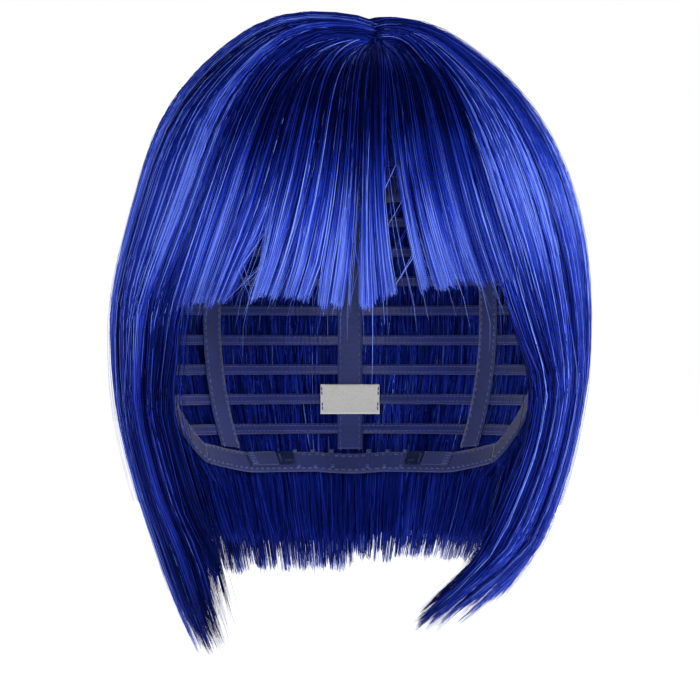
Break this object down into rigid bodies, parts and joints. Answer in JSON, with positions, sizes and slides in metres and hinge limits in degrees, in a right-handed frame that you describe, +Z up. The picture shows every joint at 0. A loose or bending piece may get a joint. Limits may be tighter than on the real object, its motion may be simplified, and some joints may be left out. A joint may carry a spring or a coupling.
{
  "type": "costume wig",
  "caption": "Chin-length bob costume wig with a straight fringe, on an open-weft cap with ear tabs and nape size adjusters.",
  "frame": {"origin": "middle of the head that the cap is made for", "axes": "+X to the wearer's left, -Y the way the wearer faces, +Z up"},
  "size_m": [0.186, 0.2239, 0.246],
  "materials": {
    "hair": "glossy synthetic fibre",
    "skin": "matte coated strip",
    "net": "fine net",
    "band": "folded woven binding",
    "tab": "velvety cloth",
    "elastic": "ribbed woven elastic",
    "weft": "stitched fibre track",
    "stay": "satin",
    "hook": "moulded",
    "label": "satin woven, blank"
  },
  "bodies": {
    "cap": {"crown_hair_left_front": "hair", "crown_hair_left_back": "hair", "crown_hair_right_front": "hair", "crown_hair_right_back": "hair", "nape_hair": "hair", "skin_top": "skin", "crown_net": "net", "front_band": "band", "side_band_left": "band", "side_band_right": "band", "nape_band": "elastic", "adjuster_strap_left": "elastic", "adjuster_strap_right": "elastic", "adjuster_loops_left": "elastic", "adjuster_loops_right": "elastic", "size_label": "label", "ribbon_back_centre": "elastic", "ribbon_back_left": "elastic", "ribbon_back_right": "elastic", "ribbon_side_left": "elastic", "ribbon_side_right": "elastic", "weft_row_01": "weft", "weft_row_02": "weft", "weft_row_03": "weft", "weft_row_04": "weft", "weft_row_05": "weft", "weft_row_06": "weft", "weft_row_07": "weft", "weft_row_08": "weft", "weft_row_09": "weft", "weft_row_10": "weft", "weft_row_11": "weft", "weft_row_12": "weft"},
    "fringe": {"fringe_hair": "hair"},
    "side_left": {"side_hair_left": "hair"},
    "side_right": {"side_hair_right": "hair"},
    "back": {"back_hair": "hair"},
    "tab_left": {"ear_tab_left": "tab", "ear_stay_left": "stay"},
    "tab_right": {"ear_tab_right": "tab", "ear_stay_right": "stay"},
    "hook_left": {"adjuster_hook_left": "hook"},
    "hook_right": {"adjuster_hook_right": "hook"}
  },
  "joints": [
    {"name": "fringe_lift", "type": "hinge", "parent": "cap", "child": "fringe", "pos_m": [0, -0.09399, 0.062], "axis": [-1, 0, 0], "range_deg": [0, 40], "stiffness_Nm_per_rad": 0.006, "springref_deg": -20.05},
    {"name": "side_swing_left", "type": "hinge", "parent": "cap", "child": "side_left", "pos_m": [0.08972, 0, 0.03], "axis": [0, -1, 0], "range_deg": [0, 30], "stiffness_Nm_per_rad": 0.03, "springref_deg": -20.05},
    {"name": "side_swing_right", "type": "hinge", "parent": "cap", "child": "side_right", "pos_m": [-0.08972, 0, 0.03], "axis": [0, 1, 0], "range_deg": [0, 30], "stiffness_Nm_per_rad": 0.03, "springref_deg": -20.05},
    {"name": "back_lift", "type": "hinge", "parent": "cap", "child": "back", "pos_m": [0, 0.10805, 0.03], "axis": [1, 0, 0], "range_deg": [0, 35], "stiffness_Nm_per_rad": 0.03, "springref_deg": -20.05},
    {"name": "tab_fold_left", "type": "hinge", "parent": "cap", "child": "tab_left", "pos_m": [0.06437, -0.0575, 0.00785], "axis": [0.2941, 0.9558, 0], "range_deg": [0, 20]},
    {"name": "tab_fold_right", "type": "hinge", "parent": "cap", "child": "tab_right", "pos_m": [-0.06437, -0.0575, 0.00785], "axis": [0.2941, -0.9558, 0], "range_deg": [0, 20]},
    {"name": "adjuster_travel_left", "type": "hinge", "parent": "cap", "child": "hook_left", "pos_m": [0, 0.0282, -0.057], "axis": [0, 0, 1], "range_deg": [0, 16], "deforming": ["adjuster_strap_left"]},
    {"name": "adjuster_travel_right", "type": "hinge", "parent": "cap", "child": "hook_right", "pos_m": [0, 0.0282, -0.057], "axis": [0, 0, -1], "range_deg": [0, 16], "deforming": ["adjuster_strap_right"]}
  ]
}
